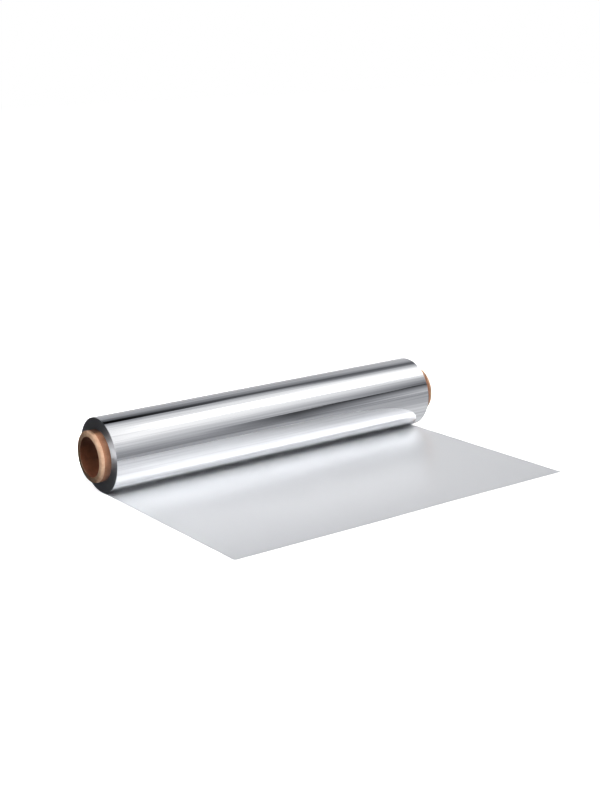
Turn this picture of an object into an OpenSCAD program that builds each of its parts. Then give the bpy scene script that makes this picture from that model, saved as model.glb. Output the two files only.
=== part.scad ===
// Aluminium foil roll, lying on its side with a length of its sheet drawn off.
// The axis of the roll is X. The sheet leaves the roll at its lowest line and lies towards -Y.
// The origin is on the axis of the core, at the middle of the foil's width.

/* [Core] */
// Diameter of the hole through the core tube
core_bore = 31; // [20:0.5:60]
// Wall of the core tube
core_wall = 4.5; // [1.5:0.5:8]
// Length of core that stands out of the foil at the left end, -X
core_out_left = 8; // [0:0.5:40]
// Length of core that stands out of the foil at the right end, +X
core_out_right = 12; // [0:0.5:40]
// Rounding of the core's outer edge, which the knife turns over as it cuts each end
core_round = 1.5; // [0.5:0.1:3]
// Worn arris of the hole at both cut ends of the core
core_arris = 0.3; // [0.1:0.05:0.6]

/* [Wound foil] */
// Width of the foil, along the roll
foil_w = 300; // [150:1:600]
// Depth of foil wound on the core, measured from the core itself
wound_depth = 9; // [4:0.5:40]
// Gap between the core and the innermost turn
core_gap = 0.05; // [0.02:0.01:0.3]

/* [Drawn sheet] */
// Length drawn off, from the line below the axis to the cut edge
sheet_l = 185; // [70:1:600]
// Thickness of the drawn sheet, far more than real foil so that it is a solid
sheet_t = 0.2; // [0.1:0.05:0.5]

/* [Turns on the end faces] */
// Distance between the spiral lines that stand for the turns
turn_pitch = 0.8; // [0.6:0.05:1.5]
// Width of a spiral line
turn_line_w = 0.45; // [0.2:0.05:0.55]
// Depth of a spiral line
turn_line_depth = 0.15; // [0.05:0.05:0.4]

/* [Hidden] */
$fn = 96;

core_r = core_bore / 2 + core_wall;
roll_r = core_r + wound_depth;
wound_bore_r = core_r + core_gap;
core_l = core_out_left + foil_w + core_out_right;
core_centre_x = (core_out_right - core_out_left) / 2;
half_turn = 180;

// Past this distance a cutting tool is clear of the face that it cuts
clear_of_face = 0.1;

// Pitches without a line: the outermost turn, and a plain land of half a pitch round the core
plain_turns = 1.5;
turn_count = floor((wound_depth - core_gap) / turn_pitch - plain_turns);

// Turns local Z into X, local X into -Z, and leaves Y, so that local +X points down
module along_axis() {
    rotate([0, 90, 0]) children();
}

// Wall of the core in section, rounded outside at both ends and with the arrises of its hole taken off
module core_section() {
    inner = core_bore / 2;
    round_r = core_r - core_round;

    polygon([
        [inner + core_arris, 0],
        [round_r, 0],
        [round_r, core_l],
        [inner + core_arris, core_l],
        [inner, core_l - core_arris],
        [inner, core_arris]
    ]);

    translate([round_r, core_round])
    square([core_round, core_l - 2 * core_round]);

    for (end = [core_round, core_l - core_round])
        translate([round_r, end])
        circle(r = core_round, $fn = 32);
}

// Paperboard tube that the foil is wound on
module core_tube() {
    color("#c79a76")
    translate([core_centre_x, 0, 0])
    along_axis()
    translate([0, 0, -core_l / 2])
    rotate_extrude()
    core_section();
}

// Outline of the wound foil with its drawn sheet, one web that leaves the roll at its lowest line
module web_outline() {
    circle(r = roll_r);
    translate([roll_r - sheet_t, -sheet_l])
    square([sheet_t, sheet_l]);
}

// V-shaped lines cut into an end face at z = 0, the first of them at radius outer_r
module turn_lines_section(outer_r) {
    half_w = turn_line_w / 2 * (1 + clear_of_face / turn_line_depth);
    for (turn = [0 : turn_count - 1]) {
        r = outer_r - turn * turn_pitch;
        polygon([
            [r - half_w, clear_of_face],
            [r, -turn_line_depth],
            [r + half_w, clear_of_face]
        ]);
    }
}

// Spiral line of the turns on an end face at z = 0, drawn with two centres.
// Its radius falls by half a pitch in each half turn, and the two centres lie half a pitch apart.
module spiral_line() {
    first_r = roll_r - turn_pitch;
    centre_shift = turn_pitch / 4;

    // From the lowest line up to the top, on the side away from the sheet
    translate([centre_shift, 0, 0])
    rotate_extrude(angle = half_turn)
    turn_lines_section(first_r - centre_shift);

    // From the top down to the lowest line, on the side of the sheet
    translate([-centre_shift, 0, 0])
    rotate([0, 0, half_turn])
    rotate_extrude(angle = half_turn)
    turn_lines_section(first_r - 3 * centre_shift);
}

// Wound foil and its drawn sheet, in one piece
module foil() {
    color("#c9ccd1")
    along_axis()
    difference() {
        linear_extrude(height = foil_w, center = true)
        web_outline();

        cylinder(r = wound_bore_r, h = foil_w + 2 * clear_of_face, center = true);

        // Right end
        translate([0, 0, foil_w / 2])
        spiral_line();

        // Left end, seen from the other side
        translate([0, 0, -foil_w / 2])
        mirror([0, 0, 1])
        spiral_line();
    }
}

core_tube();
foil();
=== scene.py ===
import math

import bpy
from mathutils import Matrix, Vector, noise


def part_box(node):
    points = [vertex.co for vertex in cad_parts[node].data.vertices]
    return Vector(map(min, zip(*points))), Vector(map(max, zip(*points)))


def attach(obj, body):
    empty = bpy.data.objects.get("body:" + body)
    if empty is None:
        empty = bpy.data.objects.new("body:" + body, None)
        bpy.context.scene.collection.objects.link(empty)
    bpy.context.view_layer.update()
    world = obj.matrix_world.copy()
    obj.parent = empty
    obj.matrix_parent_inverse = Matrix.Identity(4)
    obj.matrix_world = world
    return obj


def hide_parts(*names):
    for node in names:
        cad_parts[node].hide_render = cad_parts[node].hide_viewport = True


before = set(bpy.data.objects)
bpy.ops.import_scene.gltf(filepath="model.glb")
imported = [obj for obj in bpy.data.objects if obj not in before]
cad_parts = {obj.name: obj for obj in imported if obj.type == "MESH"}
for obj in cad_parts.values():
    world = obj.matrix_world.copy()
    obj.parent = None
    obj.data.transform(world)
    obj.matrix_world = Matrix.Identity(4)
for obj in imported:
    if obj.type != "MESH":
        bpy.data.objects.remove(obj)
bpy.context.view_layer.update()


# Core tube
# A stiff kraft paperboard tube. Narrow plies are glued and wound in a helix on a mandrel, which
# leaves a butt seam that runs round the tube. A knife cuts it to length as it turns, and rolls the
# outer edge of each end over.

mm = 0.001


def linear(code):
    """An sRGB hex colour such as c99b74 as the linear values that a shader takes, opaque."""
    channels = [int(code[i:i + 2], 16) / 255 for i in (0, 2, 4)]
    return [c / 12.92 if c <= 0.04045 else ((c + 0.055) / 1.055) ** 2.4 for c in channels] + [1.0]


def add_node(tree, kind, settings=None, links=None):
    """Adds a node. settings are its properties and input values, links the sockets that feed it.
    An input goes by its name, or by its number where two inputs share a name."""
    node = tree.nodes.new(kind)
    for key, value in (settings or {}).items():
        if isinstance(key, int) or key in node.inputs:
            node.inputs[key].default_value = value
        else:
            setattr(node, key, value)
    for key, socket in (links or {}).items():
        tree.links.new(socket, node.inputs[key])
    return node


def new_material(name):
    """An empty node material, with its output node."""
    material = bpy.data.materials.new(name)
    material.use_nodes = True
    material.node_tree.nodes.clear()
    return material, material.node_tree, material.node_tree.nodes.new("ShaderNodeOutputMaterial")


def add_piece(name, corners, faces, materials, face_materials, sharp_angle):
    """A mesh object in the CAD frame, smooth apart from edges sharper than sharp_angle."""
    mesh = bpy.data.meshes.new(name)
    mesh.from_pydata(corners, [], faces)
    for material in materials:
        mesh.materials.append(material)
    mesh.polygons.foreach_set("material_index", face_materials)
    mesh.validate()
    mesh.polygons.foreach_set("use_smooth", [True] * len(mesh.polygons))
    mesh.set_sharp_from_angle(angle=math.radians(sharp_angle))
    mesh.update()
    piece = bpy.data.objects.new(name, mesh)
    bpy.context.scene.collection.objects.link(piece)
    return piece


def painted_contact_shade(tree, place):
    """Share of the board's colour that is kept: painted shade, darker towards the foil's end faces."""
    contact_shade_width = 5 * mm
    darkest = 0.45
    # Painted shade: the colour darkens to darkest over this width of the core next to the foil's end faces
    parts = add_node(tree, "ShaderNodeSeparateXYZ", links={"Vector": place})
    from_middle = add_node(tree, "ShaderNodeMath", {"operation": "ABSOLUTE"}, {0: parts.outputs["X"]})
    unshaded_share = add_node(tree, "ShaderNodeMapRange",
                     {"From Min": wound_half_w, "From Max": wound_half_w + contact_shade_width,
                      "To Min": darkest, "To Max": 1.0},
                     {"Value": from_middle.outputs["Value"]})
    return unshaded_share.outputs["Result"]


def paperboard(name, light_code, dark_code, fleck_mm, bump_mm, painted_shade=False):
    """Uncoated kraft board: matt, with fibres that show as small light and dark flecks. A fibre is
    about 0.03 mm wide, too fine to show, so the flecks are drawn as coarse as tufts of fibres."""
    cloud_mm = 14 * fleck_mm
    material, tree, output = new_material(name)
    place = add_node(tree, "ShaderNodeTexCoord").outputs["Object"]
    flecks = add_node(tree, "ShaderNodeTexNoise",
                      {"Scale": 1 / (fleck_mm * mm), "Detail": 4.0, "Roughness": 0.6}, {"Vector": place})
    clouds = add_node(tree, "ShaderNodeTexNoise",
                      {"Scale": 1 / (cloud_mm * mm), "Detail": 2.0}, {"Vector": place})
    mixed = add_node(tree, "ShaderNodeMath", {"operation": "ADD"},
                     {0: flecks.outputs["Fac"], 1: clouds.outputs["Fac"]})
    lightness = add_node(tree, "ShaderNodeMapRange", {"From Min": 0.75, "From Max": 1.25},
                         {"Value": mixed.outputs["Value"]})
    colour = add_node(tree, "ShaderNodeMix",
                      {"data_type": "RGBA", 6: linear(dark_code), 7: linear(light_code)},
                      {0: lightness.outputs["Result"]})
    relief = add_node(tree, "ShaderNodeBump", {"Strength": 0.6, "Distance": bump_mm * mm},
                      {"Height": flecks.outputs["Fac"]})
    shown = colour.outputs[2]
    # Painted shade: the board's colour darkens next to the foil's end faces, where the core meets the foil
    if painted_shade:
        shaded_colour = add_node(tree, "ShaderNodeVectorMath", {"operation": "SCALE"},
                        {0: shown, "Scale": painted_contact_shade(tree, place)})
        shown = shaded_colour.outputs["Vector"]
    board = add_node(tree, "ShaderNodeBsdfPrincipled", {"Roughness": 0.78},
                     {"Base Color": shown, "Normal": relief.outputs["Normal"]})
    tree.links.new(board.outputs["BSDF"], output.inputs["Surface"])
    return material


core_low, core_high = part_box("core_tube")
core_l = core_high[0] - core_low[0]
core_r = core_high[2]
core_wall = 4.5 * mm
bore_r = core_r - core_wall
end_round = 1.5 * mm
bore_arris = 0.3 * mm
wound_half_w = 150 * mm

# The plies' helix goes once round in ply_lead. A seam's start is its angle at the left end
ply_lead = 105 * mm
ply_thickness = 0.45 * mm
ply_relief = 0.05 * mm
seam_half_width = 0.25 * mm
seam_depth = 0.1 * mm
outer_seam_start = 0.4
liner_seam_start = 2.8

# Next to each rounded end the pale cut board's colour runs on along the outside over this length: a painted
# highlight of the light the rounded edge catches
painted_highlight_band = 1.1 * mm

on_outside, on_cut_end, in_bore = 0, 1, 2
stations_along = 160
columns_round = 96

kraft = paperboard("kraft paperboard", "9e6c4f", "7e533a", fleck_mm=0.35, bump_mm=0.06, painted_shade=True)
kraft_cut = paperboard("cut paperboard", "c6a387", "ab8569", fleck_mm=0.3, bump_mm=0.1)
# The bore's board is darker than the outside board: painted shade for the dim inside of the tube
kraft_inside = paperboard("bore board darkened as painted shade", "7d492f", "61341e", fleck_mm=0.35, bump_mm=0.06)


def core_section():
    """Once round the wall in section, as (distance from the left end, radius, where it is)."""
    along = [end_round + (core_l - 2 * end_round) * i / stations_along for i in range(stations_along + 1)]
    right_end = []
    for degrees in range(10, 91, 10):
        a = math.radians(degrees)
        right_end.append((core_l - end_round * (1 - math.sin(a)),
                          core_r - end_round * (1 - math.cos(a)), on_cut_end))
    flat = core_wall - end_round - bore_arris
    ply_edges = 2 * round(flat / ply_thickness)
    right_end += [(core_l - (i % 2) * ply_relief, core_r - end_round - flat * i / ply_edges, on_cut_end)
                  for i in range(1, ply_edges)]
    right_end.append((core_l, bore_r + bore_arris, on_cut_end))
    left_end = [(core_l - distance, r, place) for distance, r, place in reversed(right_end)]
    # The pale cut board's colour on this strip of the outside is a painted highlight
    outside = [(end_round, core_r, on_cut_end), (end_round + painted_highlight_band, core_r, on_outside)]
    outside += [(distance, core_r, on_outside) for distance in along[1:-1]]
    outside += [(core_l - end_round - painted_highlight_band, core_r, on_outside),
                (core_l - end_round, core_r, on_cut_end)]
    bore_along = [bore_arris] + along[1:-1] + [core_l - bore_arris]
    bore = [(distance, bore_r, in_bore) for distance in reversed(bore_along)]
    return outside + right_end + bore + left_end


def wind_core():
    """The section is carried round the axis. Its columns follow the helix of the plies, so the
    seams of the outer ply and of the liner each stay on one column."""
    columns = [(2 * math.pi * i / columns_round, None) for i in range(columns_round)]
    for angle, place in ((outer_seam_start, on_outside), (liner_seam_start, in_bore)):
        half_angle = seam_half_width / core_r
        columns += [(angle - half_angle, None), (angle, place), (angle + half_angle, None)]
    columns.sort(key=lambda column: column[0])
    section = core_section()
    corners = []
    for distance, radius, place in section:
        for angle, seam in columns:
            turned = angle + 2 * math.pi * distance / ply_lead
            sunk = seam_depth if seam == place else 0.0
            r = radius - sunk if place == on_outside else radius + sunk
            corners.append((core_low[0] + distance, r * math.sin(turned), r * math.cos(turned)))
    faces = []
    finishes = []
    count = len(columns)
    for a in range(len(section)):
        b = (a + 1) % len(section)
        finish = section[a][2] if section[a][2] == section[b][2] else on_cut_end
        for i in range(count):
            j = (i + 1) % count
            faces.append((a * count + i, a * count + j, b * count + j, b * count + i))
            finishes.append(finish)
    return corners, faces, finishes


core_corners, core_faces, core_finishes = wind_core()
core = add_piece("core_wound_tube", core_corners, core_faces,
                 [kraft, kraft_cut, kraft_inside], core_finishes, sharp_angle=50)
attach(core, "root")
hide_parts("core_tube")


# Foil
# One web of household aluminium foil, rolled thin in pairs, so that one side is bright and the
# other satin. It is wound tight on the core with its bright side out, and its free end is drawn
# off from the lowest line of the roll, so the drawn sheet shows the satin side.

def bright_foil():
    """The side that met the polished mill roll: a mirror, with faint lines along the roll. Real
    lines are under 1 mm wide, and are drawn as coarse as they need to be to show."""
    line_mm = 2.2
    stretch = 90
    material, tree, output = new_material("bright aluminium foil")
    place = add_node(tree, "ShaderNodeTexCoord").outputs["Object"]
    drawn_out = add_node(tree, "ShaderNodeMapping", {"Scale": (1 / stretch, 1, 1)}, {"Vector": place})
    lines = add_node(tree, "ShaderNodeTexNoise", {"Scale": 1 / (line_mm * mm), "Detail": 3.0},
                     {"Vector": drawn_out.outputs["Vector"]})
    relief = add_node(tree, "ShaderNodeBump", {"Strength": 0.5, "Distance": 0.12 * mm},
                      {"Height": lines.outputs["Fac"]})
    lightness = add_node(tree, "ShaderNodeMapRange", {"From Min": 0.35, "From Max": 0.55},
                         {"Value": lines.outputs["Fac"]})
    colour = add_node(tree, "ShaderNodeMix",
                      {"data_type": "RGBA", 6: linear("e0e1e4"), 7: linear("f5f6f8")},
                      {0: lightness.outputs["Result"]})
    metal = add_node(tree, "ShaderNodeBsdfPrincipled", {"Metallic": 1.0, "Roughness": 0.055},
                     {"Base Color": colour.outputs[2], "Normal": relief.outputs["Normal"]})
    tree.links.new(metal.outputs["BSDF"], output.inputs["Surface"])
    return material


def satin_foil():
    """The side that met the other foil in the mill: satin, with a grain that softens reflections.
    The real grain is about 0.01 mm, and is drawn as coarse as it needs to be to show."""
    grain_mm = 0.5
    material, tree, output = new_material("satin aluminium foil")
    place = add_node(tree, "ShaderNodeTexCoord").outputs["Object"]
    grain = add_node(tree, "ShaderNodeTexNoise", {"Scale": 1 / (grain_mm * mm), "Detail": 3.0},
                     {"Vector": place})
    relief = add_node(tree, "ShaderNodeBump", {"Strength": 0.25, "Distance": 0.01 * mm},
                      {"Height": grain.outputs["Fac"]})
    metal = add_node(tree, "ShaderNodeBsdfPrincipled",
                     {"Base Color": linear("f2f3f5"), "Metallic": 0.68, "Roughness": 0.28},
                     {"Normal": relief.outputs["Normal"]})
    tree.links.new(metal.outputs["BSDF"], output.inputs["Surface"])
    return material


def foil_edges():
    """Hundreds of slit edges side by side: grey, with a sheen that turns round the axis. They lie
    about 0.015 mm apart, and their rings are drawn as far apart as they need to be to show."""
    ring_mm = 1.5708
    wave_radians = 20
    material, tree, output = new_material("slit edges of aluminium foil")
    place = add_node(tree, "ShaderNodeTexCoord").outputs["Object"]
    rings = add_node(tree, "ShaderNodeTexWave",
                     {"wave_type": "RINGS", "rings_direction": "X",
                      "Scale": 2 * math.pi / (wave_radians * ring_mm * mm),
                      "Distortion": 0.6, "Detail": 2.0, "Detail Scale": 30.0}, {"Vector": place})
    relief = add_node(tree, "ShaderNodeBump", {"Strength": 0.35, "Distance": 0.03 * mm},
                      {"Height": rings.outputs["Fac"]})
    from_axis = add_node(tree, "ShaderNodeMapping", {"Scale": (0, 1, 1)}, {"Vector": place})
    metal = add_node(tree, "ShaderNodeBsdfPrincipled",
                     {"Base Color": linear("9a9b9e"), "Metallic": 1.0, "Roughness": 0.62,
                      "Anisotropic": 0.86},
                     {"Normal": relief.outputs["Normal"], "Tangent": from_axis.outputs["Vector"]})
    tree.links.new(metal.outputs["BSDF"], output.inputs["Surface"])
    return material


foil_low, foil_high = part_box("foil")
foil_half_w = foil_high[0]
roll_r = foil_high[2]
sheet_l = -foil_low[1]
sheet_t = 0.2 * mm
core_gap = 0.05 * mm
wound_bore_r = core_r + core_gap

# Real turns lie about 0.015 mm apart. Their spiral is drawn as coarse as it needs to be to show
turn_pitch = 0.8 * mm
turn_depth = 0.12 * mm

# Steps of the mesh round the roll, along the sheet, across the web and down an end face
arc_steps = 300
sheet_steps = 62
across_steps = 120
end_rings = 44

# The web meets the roll's circle at this angle from its lowest line, where its top starts
nip_angle = math.acos((roll_r - sheet_t) / roll_r)
nip_y = -roll_r * math.sin(nip_angle)


def smooth_step(low, high, value):
    """0 below low, 1 above high, and a smooth curve between."""
    share = min(max((value - low) / (high - low), 0.0), 1.0)
    return share * share * (3 - 2 * share)


def wound_dip(x, angle):
    """How far the outermost turn lies under its true circle: soft ripples along the roll."""
    blend_angle = 0.5
    mean_dip, broad_dip, fine_dip = 0.05 * mm, 0.03 * mm, 0.009 * mm
    broad_length, broad_waves = 0.16, 2.1
    fine_length, fine_waves, fine_start = 0.11, 7, 7
    away_from_web = (smooth_step(0.0, blend_angle, angle)
                     * smooth_step(0.0, blend_angle, 2 * math.pi - nip_angle - angle))
    across, down = math.cos(angle), math.sin(angle)
    broad = noise.noise(Vector((x / broad_length, broad_waves * across, broad_waves * down)))
    fine = noise.noise(Vector((x / fine_length + fine_start, fine_waves * across, fine_waves * down)))
    return (mean_dip + broad_dip * broad + fine_dip * fine) * away_from_web


def sheet_lift(x, y):
    """How far the drawn sheet lies above the table: long shallow buckles that run off the roll."""
    flat_until, free_from = 3 * mm, 45 * mm
    mean_lift, broad_lift, small_lift = 0.35 * mm, 0.55 * mm, 0.12 * mm
    broad_width, broad_length, broad_layer = 0.12, 0.16, 3.0
    small_width, small_length, small_layer = 0.045, 0.07, 9.0
    away_from_nip = smooth_step(flat_until, free_from, -y)
    broad = noise.noise(Vector((x / broad_width, y / broad_length, broad_layer)))
    small = noise.noise(Vector((x / small_width, y / small_length, small_layer)))
    return max(0.0, mean_lift + broad_lift * broad + small_lift * small) * away_from_nip


def web_section(x):
    """The web's outline at x, once round: over the roll, out along the sheet's top and back below."""
    outline = []
    for i in range(arc_steps + 1):
        angle = (2 * math.pi - nip_angle) * i / arc_steps
        r = roll_r - wound_dip(x, angle)
        outline.append((x, r * math.sin(angle), -r * math.cos(angle)))
    stations = [nip_y + (-sheet_l - nip_y) * i / sheet_steps for i in range(sheet_steps + 1)]
    for y in stations[1:]:
        outline.append((x, y, -roll_r + sheet_t + sheet_lift(x, y)))
    for y in reversed(stations):
        outline.append((x, y, -roll_r + sheet_lift(x, y)))
    return outline


def end_ring(side, share):
    """One ring of an end face, share of the way from the outermost turn to the core."""
    r = roll_r + (wound_bore_r - roll_r) * share
    plain = (smooth_step(0, 0.6 * turn_pitch, roll_r - r)
             * smooth_step(0, 0.3 * turn_pitch, r - wound_bore_r))
    ring = []
    for i in range(arc_steps + 1):
        angle = (2 * math.pi - nip_angle) * i / arc_steps
        turns = (roll_r - r) / turn_pitch - angle / (2 * math.pi)
        groove = (0.5 + 0.5 * math.cos(2 * math.pi * turns)) ** 2
        x = side * (foil_half_w - turn_depth * groove * plain)
        ring.append((x, r * math.sin(angle), -r * math.cos(angle)))
    return ring


def wind_foil():
    """The web's skin, its two end faces with the bore between them, and the sheet's side edges."""
    bright, satin, edge = 0, 1, 2
    arc_count = arc_steps + 1
    corners = []
    for i in range(across_steps + 1):
        corners += web_section(-foil_half_w + 2 * foil_half_w * i / across_steps)
    count = len(corners) // (across_steps + 1)
    last_top = arc_steps + sheet_steps
    faces = []
    finishes = []
    for i in range(across_steps):
        for k in range(count):
            n = (k + 1) % count
            faces.append((i * count + k, (i + 1) * count + k, (i + 1) * count + n, i * count + n))
            finishes.append(bright if k < arc_steps or k > last_top else satin if k < last_top else edge)
    inner_rings = []
    for side, start in ((-1, 0), (1, across_steps * count)):
        rings = [[start + k for k in range(arc_count)]]
        for j in range(1, end_rings + 1):
            first = len(corners)
            corners += end_ring(side, j / end_rings)
            rings.append([first + k for k in range(arc_count)])
        for a, b in zip(rings, rings[1:]):
            for k in range(arc_count):
                n = (k + 1) % arc_count
                face = (a[k], a[n], b[n], b[k])
                faces.append(face if side < 0 else face[::-1])
                finishes.append(edge)
        inner_rings.append(rings[-1])
        top = [start + arc_steps + k for k in range(sheet_steps + 1)]
        under = [start + count - 1 - k for k in range(sheet_steps + 1)]
        side_faces = [(top[0], start, under[0])]
        side_faces += [(top[k], under[k], under[k + 1], top[k + 1]) for k in range(sheet_steps)]
        for face in side_faces:
            faces.append(face if side < 0 else face[::-1])
            finishes.append(edge)
    left, right = inner_rings
    for k in range(arc_count):
        n = (k + 1) % arc_count
        faces.append((left[k], left[n], right[n], right[k]))
        finishes.append(edge)
    return corners, faces, finishes


foil_corners, foil_faces, foil_finishes = wind_foil()
foil = add_piece("foil_web", foil_corners, foil_faces,
                 [bright_foil(), satin_foil(), foil_edges()], foil_finishes, sharp_angle=40)
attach(foil, "root")
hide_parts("foil")


# Studio
# A plain white table, an even white surround, and cloth panels round the set that only show as
# reflections in the metal, as a photographer places them to give a mirror its bands.

floor_drop = 0.05 * mm
floor_reach = 6.0

# How much the table glows for the eye, and how strongly the surround lights the object
table_glow = 0.91
surround_on_object = 0.11


def white_to_eye(tree):
    """1 for rays of the camera and for those that metal or glass sends on, else 0."""
    path = add_node(tree, "ShaderNodeLightPath")
    camera_or_gloss = add_node(tree, "ShaderNodeMath", {"operation": "ADD"},
                               {0: path.outputs["Is Camera Ray"], 1: path.outputs["Is Glossy Ray"]})
    any_of_three = add_node(tree, "ShaderNodeMath", {"operation": "ADD", "use_clamp": True},
                            {0: camera_or_gloss.outputs["Value"], 1: path.outputs["Is Transmission Ray"]})
    return any_of_three.outputs["Value"]


def table_material():
    """White table paper. A glow for the eye makes it as white as the surround, and shadows stay."""
    material, tree, output = new_material("white table paper")
    glow_strength = add_node(tree, "ShaderNodeMapRange", {"To Max": table_glow},
                             {"Value": white_to_eye(tree)})
    paper = add_node(tree, "ShaderNodeBsdfDiffuse", {"Color": linear("f4f4f4")})
    glow = add_node(tree, "ShaderNodeEmission", {"Color": linear("ffffff")},
                    {"Strength": glow_strength.outputs["Result"]})
    both = add_node(tree, "ShaderNodeAddShader",
                    links={0: paper.outputs["BSDF"], 1: glow.outputs["Emission"]})
    tree.links.new(both.outputs["Shader"], output.inputs["Surface"])
    return material


bpy.ops.mesh.primitive_plane_add(size=2 * floor_reach, location=(0, 0, -roll_r - floor_drop))
floor = bpy.context.object
floor.name = "table"
floor.data.materials.append(table_material())

world = bpy.data.worlds.new("white surround")
world.use_nodes = True
world.node_tree.nodes.clear()
bpy.context.scene.world = world
sky = world.node_tree
sky_strength = add_node(sky, "ShaderNodeMapRange", {"To Min": surround_on_object, "To Max": 1.0},
                        {"Value": white_to_eye(sky)})
surround = add_node(sky, "ShaderNodeBackground", {"Color": linear("ffffff")},
                    {"Strength": sky_strength.outputs["Result"]})
add_node(sky, "ShaderNodeOutputWorld", links={"Surface": surround.outputs["Background"]})

# The panels' cloth glows at the level that each corner holds, a little blue where it is dim
cloth, cloth_tree, cloth_output = new_material("lit panel cloth")
cloth_level = add_node(cloth_tree, "ShaderNodeAttribute", {"attribute_name": "level"})
cloth_colour = add_node(cloth_tree, "ShaderNodeMix",
                        {"data_type": "RGBA", 6: linear("e2e5ee"), 7: linear("ffffff")},
                        {0: cloth_level.outputs["Fac"]})
cloth_glow = add_node(cloth_tree, "ShaderNodeEmission",
                      links={"Color": cloth_colour.outputs[2], "Strength": cloth_level.outputs["Fac"]})
cloth_tree.links.new(cloth_glow.outputs["Emission"], cloth_output.inputs["Surface"])


def hang_cloth(name, corners, levels, rows, shades=False):
    """A cloth that only reflections show, or that only shades. Its corners go from its low edge to
    its high one in pairs, left and right, and its light runs evenly between them."""
    mesh = bpy.data.meshes.new(name)
    faces = [(2 * i, 2 * i + 1, 2 * i + 3, 2 * i + 2) for i in range(rows)]
    mesh.from_pydata(corners, [], faces)
    mesh.materials.append(cloth)
    mesh.attributes.new("level", "FLOAT", "POINT").data.foreach_set("value", levels)
    piece = bpy.data.objects.new(name, mesh)
    bpy.context.scene.collection.objects.link(piece)
    for ray in ("camera", "transmission", "volume_scatter"):
        setattr(piece, "visible_" + ray, False)
    piece.visible_glossy = not shades
    piece.visible_diffuse = shades
    piece.visible_shadow = shades


# Places along the roll's line where the panels start, change and end
far_left, left_wing_end, set_left, set_middle = -3, 0.25, 0.50, 0.90
set_right, right_wing_start, far_right = 1.20, 1.7, 4
panel_distance = 1.3
dim_share = 0.62


def panel(name, left, right, left_angles, right_angles, low_levels, high_levels, nearer=0.0):
    """A curved panel along the roll. Its angles turn up from the front, round the roll's axis, and
    its levels are those of its left and right end, along its low edge and its high one."""
    rows = 10
    distance = panel_distance - nearer
    ends = ((left, left_angles, low_levels[0], high_levels[0]),
            (right, right_angles, low_levels[1], high_levels[1]))
    corners = []
    levels = []
    for i in range(rows + 1):
        share = i / rows
        for x, (low, high), low_level, high_level in ends:
            angle = math.radians(low + (high - low) * share)
            corners.append((x, -distance * math.cos(angle), distance * math.sin(angle)))
            levels.append(low_level + (high_level - low_level) * share)
    hang_cloth(name, corners, levels, rows)


def wide_panel(name, low, high, low_levels, high_levels, dim_wings=False):
    """A panel with three levels along each edge, at its left, middle and right, and a wing on
    either side. Dim wings keep the drawn sheet from turning white, seen from above or an end."""
    angles = (low, high)
    left_wing, right_wing = (low_levels[0], high_levels[0]), (low_levels[2], high_levels[2])
    if dim_wings:
        left_wing = right_wing = (dim_share * low_levels[0], dim_share * high_levels[0])
    panel(name + "_left", set_left, set_middle, angles, angles, low_levels[:2], high_levels[:2])
    panel(name + "_right", set_middle, set_right, angles, angles, low_levels[1:], high_levels[1:])
    panel(name + "_left_blend", left_wing_end, set_left, angles, angles,
          (left_wing[0], low_levels[0]), (left_wing[1], high_levels[0]))
    panel(name + "_left_wing", far_left, left_wing_end, angles, angles,
          (left_wing[0],) * 2, (left_wing[1],) * 2)
    panel(name + "_right_blend", set_right, right_wing_start, angles, angles,
          (low_levels[2], right_wing[0]), (high_levels[2], right_wing[1]))
    panel(name + "_right_wing", right_wing_start, far_right, angles, angles,
          (right_wing[0],) * 2, (right_wing[1],) * 2)


# The bright ceiling gives the roll the white band over its crest. The gap behind it gives the thin
# dark line, and the low panels at the rear the grey above that line
wide_panel("ceiling", 64, 88, (1.05, 2.6, 2.6), (0.95, 2.4, 2.4), dim_wings=True)
wide_panel("ceiling_rear_edge", 88, 107, (0.95, 1.3, 1.3), (0.64, 0.68, 0.62), dim_wings=True)
wide_panel("rear_drop", 107, 116, (0.60, 0.68, 0.62), (0.03, 0.24, 0.20))
wide_panel("rear_gap", 116, 126, (0.0, 0.17, 0.16), (0.0, 0.15, 0.16))
wide_panel("rear_skirt", 126, 139, (0.05, 0.19, 0.20), (0.33, 0.35, 0.46))
wide_panel("rear_wall", 139, 182, (0.36, 0.37, 0.46), (0.68, 0.68, 0.76))

# The front cloths give the shading down the roll's front
wide_panel("front_cloth_top", 45, 64, (1.05, 0.68, 0.36), (1.0, 1.0, 1.0), dim_wings=True)
wide_panel("front_cloth", 25, 45, (0.60, 0.42, 0.08), (1.05, 0.68, 0.36), dim_wings=True)
wide_panel("front_card", 5, 25, (0.31, 0.28, 0.28), (0.60, 0.42, 0.30))
wide_panel("front_foot", -2, 5, (0.31, 0.42, 0.50), (0.31, 0.28, 0.30))

# Small panels hang just in front of the wide ones. At the rear they sharpen the rear edge of the
# bright band, and at the front they make the dark wedge that widens to the right, and its thin line
in_front = 0.02
edge_tip, edge_full = (110, 112), (109, 117.5)
panel("rear_drop_edge_start", 0.54, 0.72, edge_tip, edge_full, (0.50, 0.76), (0.40, 0.28), in_front)
panel("rear_drop_edge", 0.72, 0.85, edge_full, edge_full, (0.76, 0.76), (0.28, 0.28), in_front)
panel("rear_drop_edge_end", 0.85, 0.97, edge_full, edge_tip, (0.76, 0.50), (0.28, 0.40), in_front)
panel("front_wedge_start", 0.64, 0.76, (5, 24), (5, 25), (0.29, 0.25), (0.50, 0.20), in_front)
panel("front_wedge_middle", 0.76, 0.84, (5, 25), (5, 27), (0.25, 0.18), (0.20, 0.02), in_front)
panel("front_wedge", 0.84, set_right, (5, 27), (5, 30.5), (0.18, 0.75), (0.02, 0.03), in_front)
panel("front_thin_line", 0.93, 1.3, (1.6, 2.8), (1.6, 2.8), (0.36, 0.24), (0.36, 0.24), 2 * in_front)
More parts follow.
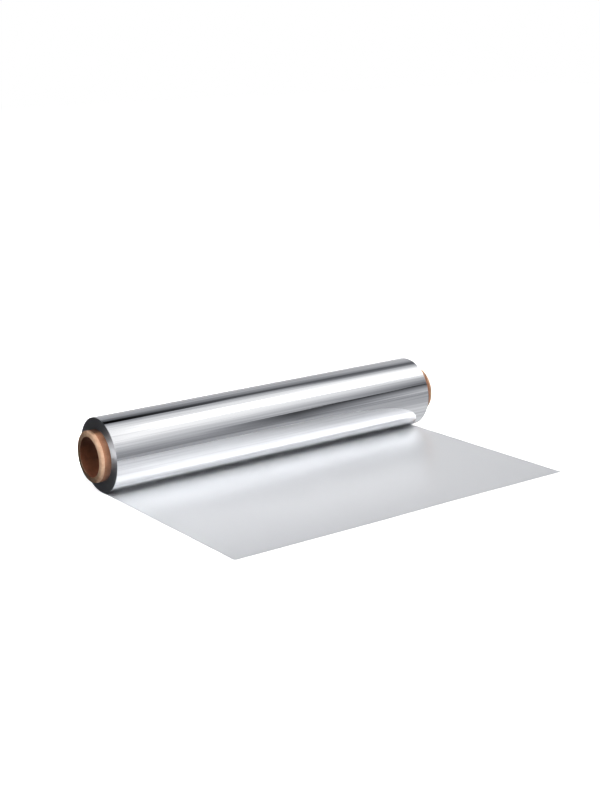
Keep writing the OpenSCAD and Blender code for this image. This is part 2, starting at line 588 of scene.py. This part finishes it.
panel("front_wedge_foot", 0.84, set_right, (-2, 5), (-2, 5), (0.32, 0.5), (0.18, 0.75), in_front)

# Cards lie on the table round the sheet, and reach a little way under its edges
card_z = -roll_r - 0.03 * mm
tuck = 5 * mm
card_left, card_right, card_front = -foil_half_w + tuck, foil_half_w - tuck, -sheet_l + tuck


def lay_card(name, left, right, front, back, *levels):
    """A card on the table that only reflections show, with one level or one at each corner."""
    corners = [(x, y, card_z) for y in (front, back) for x in (left, right)]
    hang_cloth(name, corners, list(levels) * (len(corners) // len(levels)), 1)


def stand_cloth(name, start, end, low, high, low_level, high_level):
    """An upright cloth on the line from start to end, from the height low to the height high."""
    corners = [(*foot, z) for z in (low, high) for foot in (start, end)]
    hang_cloth(name, corners, [low_level, low_level, high_level, high_level], 1)


lay_card("table_card_front", far_left, far_right, -0.6, card_front, 0.34, 0.42, 0.46, 0.48)
lay_card("table_card_far_front", far_left, far_right, -1.5, -0.6, 0.35)
lay_card("table_card_right", card_right, far_right, card_front, -0.08, 0.46)
lay_card("table_card_right_blend", card_right, 0.4, -0.08, -0.045, 0.46, 0.46, 0.68, 0.68)
lay_card("table_card_right_near", card_right, 0.4, -0.045, 0.03, 0.68)
lay_card("table_card_far_right", 0.4, far_right, -0.08, 0.5, 0.46)
lay_card("table_card_rear_right", card_right, 0.4, 0.03, 0.5, 0.46)
lay_card("table_card_rear", card_left, card_right, 0, 0.5, 0.46)
lay_card("table_card_far_rear", far_left, far_right, 0.5, 1.5, 0.55)
lay_card("table_card_dark", -0.24, card_left, -0.1, 0.4, 0.15)
lay_card("table_card_dark_left", -1.2, -0.24, 0.06, 0.4, 0.15)
lay_card("table_card_left", -1.2, -0.24, -0.25, 0.06, 0.14)

# Bright cards beside the set put the sheen on the end faces, and dark cloths round the left end
# keep the rest of its face grey
for side, x, level in (("left", -0.9, 25.0), ("right", 1.0, 3.0)):
    stand_cloth("bright_card_" + side, (x, -0.8), (x, -0.42), -0.02, 0.5, level, level)
stand_cloth("dark_cloth_rear_left", (-1.2, 0.4), (-0.17, 0.4), card_z, 0.6, 0.12, 0.12)
hang_cloth("dark_canopy_left", [(-1.2, -0.1, 0.5), (-0.17, -0.1, 0.5), (-1.2, 0.4, 0.5), (-0.17, 0.4, 0.5)],
           [0.12] * 4, 1)
for side, x in (("left", far_left), ("right", far_right)):
    stand_cloth("end_cloth_" + side, (x, -1.5), (x, 1.5), card_z, 1.3, 0.5, 0.8)


def lamp(name, place, aim, width, height, watts, grid_degrees=180):
    """A soft box that points at aim. No reflection shows it, and a grid can narrow its beam."""
    light = bpy.data.lights.new(name, "AREA")
    light.shape = "RECTANGLE"
    light.size = width
    light.size_y = height
    light.energy = watts
    light.spread = math.radians(grid_degrees)
    box = bpy.data.objects.new(name, light)
    box.location = place
    box.rotation_euler = (Vector(aim) - Vector(place)).to_track_quat("-Z", "Y").to_euler()
    box.visible_glossy = False
    bpy.context.scene.collection.objects.link(box)


lamp("soft_box_key", (-0.17, -0.44, 0.65), (-0.17, -0.02, -0.03),
     width=0.9, height=0.09, watts=1.5, grid_degrees=58)
lamp("soft_box_left", (-0.7, -0.3, 0.65), (-0.1, 0, 0), width=0.5, height=0.3, watts=2.4)
lamp("soft_box_right", (0.36, -0.06, 0.22), (0.16, 0, 0), width=0.1, height=0.1, watts=0.15)

# Two small black flags at the left end keep the lamps' light off the rear half of the core's cut
# end, and off the top of the core where it stands out of the foil
flag_x = -foil_half_w - 14 * mm
hang_cloth("small_flag_at_left_end",
           [(flag_x, -0.028, -0.028), (flag_x, 0.010, -0.056),
            (flag_x, 0.018, 0.034), (flag_x, 0.056, 0.008)],
           [0.0] * 4, 1, shades=True)
flag_r = 27 * mm
flag_angles = [math.radians(a) for a in (68, 92, 116, 140)]
hang_cloth("small_flag_over_core",
           [(x, -flag_r * math.cos(a), flag_r * math.sin(a))
            for a in flag_angles for x in (-0.1575, -0.150)],
           [0.0] * 8, 3, shades=True)


# Camera
# It stands in front of the roll, to the left and a little above, turned slightly on its own axis.
# Its place, aim and lens are solved from the outlines of the roll, the core and the sheet.

# The sensor spans the longer side of the picture, its height
photo_height_px = 800
focal_px = 1403.3
sensor_mm = 36
camera_azimuth = math.radians(-35.23)
camera_elevation = math.radians(14.54)
camera_roll = math.radians(-1.37)
camera_distance = 1.199
camera_aim = Vector((61.1 * mm, 35.4 * mm, 0))

to_camera = Vector((math.sin(camera_azimuth) * math.cos(camera_elevation),
                    -math.cos(camera_azimuth) * math.cos(camera_elevation),
                    math.sin(camera_elevation)))
level_right = (-to_camera).cross(Vector((0, 0, 1))).normalized()
level_up = level_right.cross(-to_camera)
right = level_right * math.cos(camera_roll) + level_up * math.sin(camera_roll)
up = level_up * math.cos(camera_roll) - level_right * math.sin(camera_roll)
camera_data = bpy.data.cameras.new("camera")
camera_data.sensor_width = sensor_mm
camera_data.lens = focal_px * sensor_mm / photo_height_px
camera = bpy.data.objects.new("camera", camera_data)
facing = Matrix((right, up, to_camera)).transposed().to_4x4()
camera.matrix_world = Matrix.Translation(camera_aim + to_camera * camera_distance) @ facing
bpy.context.scene.collection.objects.link(camera)
bpy.context.scene.camera = camera

bpy.context.scene.view_settings.view_transform = "Standard"
